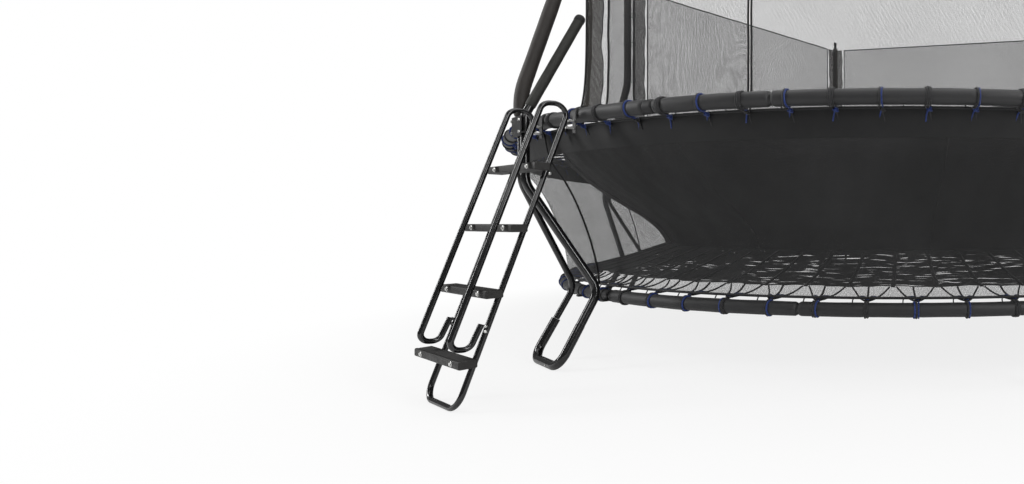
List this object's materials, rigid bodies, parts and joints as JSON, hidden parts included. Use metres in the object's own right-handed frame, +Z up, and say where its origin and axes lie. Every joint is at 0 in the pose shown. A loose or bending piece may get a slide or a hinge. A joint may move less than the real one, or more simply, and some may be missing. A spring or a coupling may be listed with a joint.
{
  "type": "backyard trampoline",
  "caption": "Round backyard trampoline with an upper and a smaller lower padded ring, bent tube legs, safety net on foam poles, mesh skirt and a hung ladder.",
  "frame": {"origin": "on the floor at the centre of the two rings", "axes": "+Z up, -Y towards the ladder and the net door, +X to the right of a person facing the door"},
  "size_m": [4.9558, 5.3963, 2.6645],
  "materials": {
    "gloss_black_tube": "gloss",
    "black_bracket": "satin",
    "dark_tube": "satin",
    "ring_sleeve": "matte",
    "pole_tube": "gloss",
    "pole_foam": "matte",
    "stay_tube": "matte",
    "bright_bolt": "satin",
    "corner_band": "matte",
    "black_plastic": "matte",
    "net_mesh": "matte",
    "black_cord": "matte",
    "skirt_mesh": "matte",
    "mat_weave": "matte",
    "edge_webbing": "matte",
    "cone_fabric": "matte",
    "black_strap": "matte",
    "tread_black": "matte"
  },
  "bodies": {
    "frame": {"foot_tube_1": "gloss_black_tube", "foot_tube_2": "gloss_black_tube", "foot_tube_3": "gloss_black_tube", "foot_tube_4": "gloss_black_tube", "foot_tube_5": "gloss_black_tube", "foot_tube_6": "gloss_black_tube", "frame_screws": "bright_bolt", "lower_ring_clamps": "black_bracket", "lower_ring_sleeves": "ring_sleeve", "lower_ring_tubes": "dark_tube", "lower_straps": "black_strap", "main_leg_1": "gloss_black_tube", "main_leg_2": "gloss_black_tube", "main_leg_3": "gloss_black_tube", "main_leg_4": "gloss_black_tube", "main_leg_5": "gloss_black_tube", "main_leg_6": "gloss_black_tube", "mat_cords": "black_cord", "net_corner_bands": "corner_band", "net_panel_1": "net_mesh", "net_panel_2": "net_mesh", "net_panel_3": "net_mesh", "net_panel_4": "net_mesh", "net_panel_5": "net_mesh", "net_panel_door_side": "net_mesh", "net_poles": "pole_tube", "net_stays": "gloss_black_tube", "pole_caps": "black_plastic", "pole_foam_1": "pole_foam", "pole_foam_2": "pole_foam", "pole_foam_3": "pole_foam", "pole_foam_4": "pole_foam", "pole_foam_5": "pole_foam", "pole_foam_6": "pole_foam", "ring_brackets": "black_bracket", "ring_couplers": "dark_tube", "side_leg_1": "gloss_black_tube", "side_leg_2": "gloss_black_tube", "side_leg_3": "gloss_black_tube", "side_leg_4": "gloss_black_tube", "side_leg_5": "gloss_black_tube", "side_leg_6": "gloss_black_tube", "skirt_panels": "skirt_mesh", "stay_sleeves": "stay_tube", "under_mat_cone": "cone_fabric", "upper_ring_sleeves": "ring_sleeve", "upper_ring_tubes": "dark_tube", "waist_hoop": "dark_tube"},
    "jump_mat": {"mat": "mat_weave", "mat_edge_band": "edge_webbing"},
    "ladder": {"hand_loop_left": "gloss_black_tube", "hand_loop_right": "gloss_black_tube", "ladder_bolts": "bright_bolt", "ladder_frame": "gloss_black_tube", "ladder_hooks": "black_bracket", "tread_1": "tread_black", "tread_2": "tread_black", "tread_3": "tread_black", "tread_4": "tread_black"},
    "door": {"net_door": "net_mesh"}
  },
  "joints": [
    {"name": "mat_bounce", "type": "slide", "parent": "frame", "child": "jump_mat", "axis": [0, 0, -1], "range_m": [0, 0.25], "stiffness_N_per_m": 4500, "deforming": ["under_mat_cone", "mat_cords"]},
    {"name": "ladder_lift", "type": "slide", "parent": "frame", "child": "ladder", "axis": [0, 0, 1], "range_m": [0, 0.35]},
    {"name": "door_swing", "type": "hinge", "parent": "frame", "child": "door", "pos_m": [0.46634, -1.90336, 1.086], "axis": [0, 0, -1], "range_deg": [0, 75]}
  ]
}
